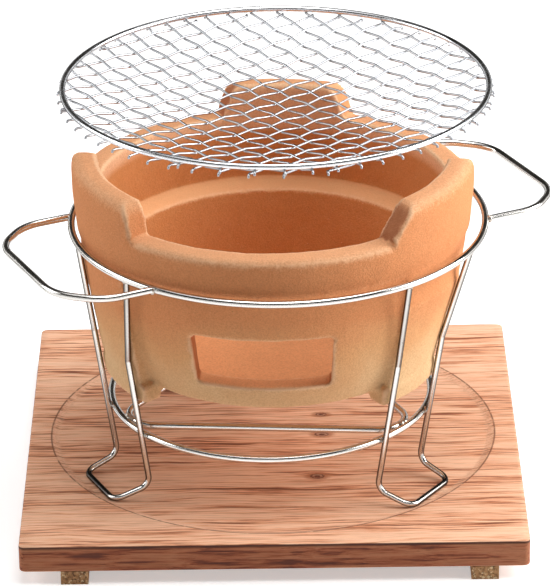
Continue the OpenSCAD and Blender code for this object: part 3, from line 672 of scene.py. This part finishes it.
def make_stand():
    beads = []
    for node, (foot_way, top_way) in LEGS.items():
        line = leg_line(foot_way, top_way)
        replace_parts(wire_piece(node + "_wire", [line], LEG_WIRE, LEG_BEND, finish=LEG_CHROME), node)
        for top, bend, low in (line[:3], line[:-4:-1]):
            beads.append(top + Vector((0, 0, 0.2)))
            at = low.lerp(bend, (BOARD_TOP + LOWER_RING_HEIGHT - low.z) / (bend.z - low.z))
            inward = LEGS_MIDDLE - at
            inward.z = 0
            beads.append(at + inward.normalized() * (LEG_WIRE / 2 + 0.1))
    for node, (way, reach) in HANDLES.items():
        line = handle_line(way, reach)
        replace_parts(wire_piece(node + "_wire", [line], RING_WIRE, HANDLE_BEND, steps=14, sides=24), node)
        beads += [end + (inner - end).normalized() * 0.4 for end, inner in (line[:2], line[:-3:-1])]
    ring_middle = LEGS_MIDDLE + TURNED_RIGHT * TOP_RING_SHIFT + Vector((0, 0, TOP_RING_HEIGHT))
    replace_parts(wire_piece("top_ring_wire", [circle(ring_middle, TOP_RING_R)], RING_WIRE, 0, True, sides=24),
                "top_ring")
    low_middle = LEGS_MIDDLE + TURNED_RIGHT * LOWER_RING_SHIFT + Vector((0, 0, LOWER_RING_HEIGHT))
    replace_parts(wire_piece("lower_ring_wire", [circle(low_middle, LOWER_RING_R)], RING_WIRE, 0, True, sides=24),
                "lower_ring")
    touch_r = LOWER_RING_R - RING_WIRE + WELD_SINK
    corner_r = touch_r + TRIANGLE_BEND * (1 / math.sin(math.radians(30)) - 1)
    ways = (BACK, FRONT - LEG_ANGLE, FRONT + LEG_ANGLE)
    corners = [along(way, corner_r, 0, LOWER_RING_HEIGHT, LOWER_RING_SHIFT) for way in ways]
    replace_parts(wire_piece("support_triangle_wire", [corners], RING_WIRE, TRIANGLE_BEND, True, steps=16, sides=24),
                "support_triangle")
    beads += [along(way, touch_r + 1.7, side, LOWER_RING_HEIGHT + up, LOWER_RING_SHIFT)
              for way in ways for side, up in CORNER_BEADS]
    data = bpy.data.meshes.new("beads")
    data.from_pydata([at * MM for at in beads], [], [])
    welds = baked("weld_beads", data, WELD_BEADS, {"Diameter": BEAD_SIZE * MM, "Unevenness": BEAD_UNEVEN,
                                                   "Seed": BEAD_SEED, "Finish": WELD_CHROME})
    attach(welds, "stand")


# ---- net ----

def sag(distance):
    """How far the net has dipped at a distance from its middle."""
    return NET_SAG * max(0.0, 1 - (distance / HOOP_R) ** 2)


def mesh_lines(family):
    """The wires of one family: over and under the other family's wires, with their ends turned down."""
    angle, pitch, count, shift, over = MESH_FAMILIES[family]
    other_angle, other_pitch, other_count, other_shift, _ = MESH_FAMILIES["b" if family == "a" else "a"]
    between = math.radians(other_angle - angle)
    a = math.radians(angle)
    forward, sideways = Vector((math.cos(a), math.sin(a), 0)), Vector((-math.sin(a), math.cos(a), 0))
    lines = []
    for i in range(count):
        p = (i - (count - 1) / 2) * pitch + shift
        half = math.sqrt(HOOP_R ** 2 - p ** 2)
        crossings = []
        for j in range(other_count):
            q = (j - (other_count - 1) / 2) * other_pitch + other_shift
            at = (p * math.cos(between) - q) / math.sin(between)
            if abs(at) < half - MESH_WIRE:
                edge = math.hypot(at, p) > HOOP_R - MESH_EDGE
                crossings.append((at, over if edge or (i + j) % 2 == 0 else -over))
        crossings.sort()

        def end(sign):
            at = forward * (sign * half) + sideways * p
            out = at.normalized()
            past = MESH_REACH + MESH_CURL / 2
            return [at + out * u + Vector((0, 0, MESH_Z + over * MESH_CRIMP + z)) for u, z in
                    ((0, 0), (MESH_REACH, 0), (past, -MESH_CURL / 2), (past, -MESH_CURL))]

        line = end(-1)[::-1]
        line += [forward * t + sideways * p + Vector((0, 0, MESH_Z + h * MESH_CRIMP - sag(math.hypot(t, p))))
                 for t, h in crossings]
        line += end(1)
        lines.append([HOOP_MIDDLE + v for v in line])
    return lines


def make_net():
    hoop = wire_piece("net_hoop_wire", [circle(HOOP_MIDDLE, HOOP_R)], HOOP_WIRE, 0, True, sides=24, finish=NET_ZINC,
                      body="net")
    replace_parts(hoop, "net_hoop")
    for family in MESH_FAMILIES:
        made = wire_piece(f"net_mesh_{family}", mesh_lines(family), MESH_WIRE, 1.6, steps=3, sides=8, finish=MESH_ZINC,
                          body="net")
        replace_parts(made, f"net_wires_{family}")


# ---- bowl ----

VOXEL = 1.45 * MM
LUMPS = ((11, 0.22, 0), (3.1, 0.12, 40))  # size, depth and place in the noise


def make_bowl():
    """The CAD bowl with its edges worn soft and its skin made gritty."""
    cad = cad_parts["bowl"]
    made = piece("bowl_clay", cad.data.copy(), CLAY)
    bm = bmesh.new()
    bm.from_mesh(made.data)
    bmesh.ops.remove_doubles(bm, verts=bm.verts, dist=CAD_WELD * MM)
    bm.to_mesh(made.data)
    bm.free()
    remesh = made.modifiers.new("voxels", "REMESH")
    remesh.mode = "VOXEL"
    remesh.voxel_size = VOXEL
    soften = made.modifiers.new("soften", "SMOOTH")
    soften.factor, soften.iterations = 0.5, 1
    bpy.context.view_layer.update()
    mesh = bpy.data.meshes.new_from_object(made.evaluated_get(bpy.context.evaluated_depsgraph_get()))
    bpy.data.objects.remove(made)
    normals = [v.normal.copy() for v in mesh.vertices]
    for v, n in zip(mesh.vertices, normals):
        at = v.co / MM
        lumps = sum(noise.noise(at / size + Vector((shift, 0, 0))) * depth for size, depth, shift in LUMPS)
        v.co = v.co + n * lumps * MM
    mesh.polygons.foreach_set("use_smooth", [True] * len(mesh.polygons))
    made = piece("bowl_clay", mesh, CLAY)
    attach(made, "bowl_body")
    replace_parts(made, "bowl")


# ---- board ----

OUTLINE_SPACING, CORNER_STEPS, RECESS_LOOPS, EASE_STEPS = 3.0, 6, 6, 4


def square_outline(half, radius):
    """Points round a square with rounded corners, counter-clockwise, centred on the origin."""
    points = []
    straight = 2 * (half - radius)
    count = round(straight / OUTLINE_SPACING)
    for k in range(4):
        a = math.pi / 2 * k
        way = Vector((math.cos(a), math.sin(a)))
        side = Vector((-way.y, way.x))
        for i in range(count):
            points.append(way * half + side * (straight * (i / count - 0.5)))
        centre = (way + side) * (half - radius)
        for i in range(CORNER_STEPS):
            b = a + math.pi / 2 * i / CORNER_STEPS
            points.append(centre + Vector((math.cos(b), math.sin(b))) * radius)
    return points


def make_board():
    """The board as one closed skin: turned recess, eased edges and slightly uneven sawn sides."""
    outline = square_outline(BOARD_HALF, BOARD_CORNER)
    ways = [p.normalized() for p in outline]
    floor_r = RECESS_R - RECESS_SLOPE
    # each loop is a list of places and heights, from the recess's middle over the edge to the underside's middle
    loops = [[(w * r, -RECESS_DEPTH) for w in ways] for r in range(RECESS_LOOPS, int(floor_r) + 1, RECESS_LOOPS)]
    for r, z in ((floor_r - 0.8, -1.2), (floor_r, -1.15), (floor_r + 0.8, -0.98), (RECESS_R - 0.8, -0.22),
                 (RECESS_R - 0.2, -0.04), (RECESS_R + 0.5, 0.0)):
        loops.append([(w * r, z) for w in ways])
    inner = [w * (RECESS_R + 0.5) for w in ways]
    for share in (0.25, 0.5, 0.75, 0.9):
        loops.append([(a.lerp(b, share), 0.0) for a, b in zip(inner, outline)])
    for k in range(1, EASE_STEPS + 1):
        a = math.pi / 2 * k / EASE_STEPS
        shrink = 1 - BOARD_EASE * (1 - math.sin(a)) / BOARD_HALF
        loops.append([(p * shrink, -BOARD_EASE * (1 - math.cos(a))) for p in outline])
    for z in (-4.5, -8, -11):
        loops.append([(p, z) for p in outline])
    for k in range(EASE_STEPS + 1):
        a = math.pi / 2 * k / EASE_STEPS
        shrink = 1 - BOARD_EASE * (1 - math.cos(a)) / BOARD_HALF
        loops.append([(p * shrink, -BOARD_THICK + BOARD_EASE * (1 - math.sin(a))) for p in outline])
    loops.append([(p * 0.5, -BOARD_THICK) for p in outline])

    bm = bmesh.new()
    origin = Vector((BOARD_MIDDLE.x, BOARD_MIDDLE.y, BOARD_TOP))

    def vertex(flat, z):
        """Faces sway up and down a little, apart from the eased edges, and the sides only inwards."""
        at = Vector((flat.x, flat.y, z))
        sway = noise.noise(Vector((at.x / 30, at.y / 30, at.z / 6))) * 0.18
        if z > -RECESS_DEPTH - 0.2 or z < -BOARD_THICK + 0.2:
            push = Vector((0, 0, sway * (0.35 if z > -1 or z < -5 else 0)))
        else:
            push = Vector((flat.x, flat.y, 0)).normalized() * min(sway, 0.0)
        return bm.verts.new((origin + at + push) * MM)

    rings = [[vertex(*spot) for spot in loop] for loop in loops]
    n = len(outline)
    for upper, lower in zip(rings, rings[1:]):
        for i in range(n):
            bm.faces.new((upper[i], lower[i], lower[(i + 1) % n], upper[(i + 1) % n]))
    for ring, z in ((rings[0], -RECESS_DEPTH), (rings[-1], -BOARD_THICK)):
        hub = bm.verts.new((origin + Vector((0, 0, z))) * MM)
        for i in range(n):
            bm.faces.new((hub, ring[i], ring[(i + 1) % n]))
    bmesh.ops.recalc_face_normals(bm, faces=bm.faces)
    mesh = bpy.data.meshes.new("board_plank")
    bm.to_mesh(mesh)
    bm.free()
    mesh.polygons.foreach_set("use_smooth", [True] * len(mesh.polygons))
    made = piece("board_plank", mesh, BOARD_WOOD)
    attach(made, "base")
    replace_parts(made, "board")


def finish_battens():
    for node in ("batten_left", "batten_right"):
        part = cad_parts[node]
        part.data.materials.clear()
        part.data.materials.append(BATTEN_WOOD)
        weld = part.modifiers.new("weld", "WELD")
        weld.merge_threshold = CAD_WELD * MM
        bevel = part.modifiers.new("eased_edges", "BEVEL")
        bevel.width, bevel.segments, bevel.limit_method = BATTEN_EASE * MM, 2, "ANGLE"
    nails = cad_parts["batten_nails"]
    nails.data.materials.clear()
    nails.data.materials.append(STEEL)


# ---- studio ----

WORLD_LIGHT = 0.03
FLOOR_HALF = 6
FLOOR_GLOW = (0.6, 2.0, 0.45, 1.1)  # the near and the far distance in metres, and the glow at each


def make_world():
    """White where it is seen, mirrored or seen through, and nearly dark as a light on the object."""
    world = bpy.data.worlds.new("studio")
    bpy.context.scene.world = world
    world.use_nodes = True
    t = Tree(world.node_tree)
    shade = world.node_tree.nodes["Background"]
    path = t.tree.nodes.new("ShaderNodeLightPath").outputs
    shown = t.math("MAXIMUM", path["Is Camera Ray"], t.math("MAXIMUM", path["Is Glossy Ray"],
                                                            path["Is Transmission Ray"]))
    t.feed(shade, "Color", (1, 1, 1, 1))
    t.feed(shade, "Strength", t.plus(t.times(shown, 1 - WORLD_LIGHT), WORLD_LIGHT))


def make_floor():
    """A floor that keeps the shadow and glows a little more with distance, so that it stays white."""
    floor = piece("floor", bpy.data.meshes.new("floor"))
    bm = bmesh.new()
    bmesh.ops.create_grid(bm, x_segments=1, y_segments=1, size=FLOOR_HALF)
    bm.to_mesh(floor.data)
    bm.free()
    white = bpy.data.materials.new("floor_white")
    white.use_nodes = True
    t = Tree(white.node_tree)
    shader = white.node_tree.nodes["Principled BSDF"]
    shader.inputs["Base Color"].default_value = (0.9, 0.9, 0.9, 1)
    shader.inputs["Roughness"].default_value = 1.0
    shader.inputs["Specular IOR Level"].default_value = 0.0
    path = t.tree.nodes.new("ShaderNodeLightPath").outputs
    shown = t.math("MAXIMUM", path["Is Camera Ray"], path["Is Glossy Ray"])
    shader.inputs["Emission Color"].default_value = (1, 1, 1, 1)
    x, y, _ = t.axes(t.add("ShaderNodeTexCoord", out=OBJECT))
    t.feed(shader, "Emission Strength", t.times(shown, t.step(t.distance(x, y), *FLOOR_GLOW)))
    floor.data.materials.append(white)


CARD_RADIUS = 1.5
CARDS = (  # lower and upper height in metres, first and last direction in degrees
    (0.03, 0.12, 20, 160), (0.45, 2.6, 0, 180), (0.02, 0.25, -30, 20), (0.02, 0.25, 160, 210),
    (0.04, 0.15, 210, 330), (0.6, 2.6, 180, 360))
FLOOR_CARD = (0.5, 1.0, 0, 180)  # inner and outer radius in metres, first and last direction
FLOOR_CARD_HEIGHT, CARD_STEPS = 0.0004, 48


def make_black_cards():
    """Black cards round the set, which only bright metal shows, so that wires get dark edges."""
    bm = bmesh.new()

    def strip(inner, outer, first, last):
        ways = [math.radians(first + (last - first) * i / CARD_STEPS) for i in range(CARD_STEPS + 1)]
        rows = [[bm.verts.new((r * math.cos(a), r * math.sin(a), z)) for a in ways] for r, z in (inner, outer)]
        for i in range(CARD_STEPS):
            bm.faces.new((rows[0][i], rows[0][i + 1], rows[1][i + 1], rows[1][i]))

    for low, high, first, last in CARDS:
        strip((CARD_RADIUS, low), (CARD_RADIUS, high), first, last)
    near, far, first, last = FLOOR_CARD
    strip((near, FLOOR_CARD_HEIGHT), (far, FLOOR_CARD_HEIGHT), first, last)
    mesh = bpy.data.meshes.new("black_cards")
    bm.to_mesh(mesh)
    bm.free()
    black = bpy.data.materials.new("paper_black")
    black.use_nodes = True
    shader = black.node_tree.nodes["Principled BSDF"]
    shader.inputs["Base Color"].default_value = (0.03, 0.026, 0.022, 1)
    shader.inputs["Roughness"].default_value = 1.0
    cards = piece("black_cards", mesh, black)
    cards.visible_camera = cards.visible_diffuse = cards.visible_shadow = cards.visible_transmission = False


bpy.context.scene.view_settings.view_transform = "Standard"
put_camera()
make_board()
finish_battens()
make_stand()
make_bowl()
make_net()
make_world()
make_floor()
for lamp in LAMPS:
    put_lamp(*lamp)
make_black_cards()
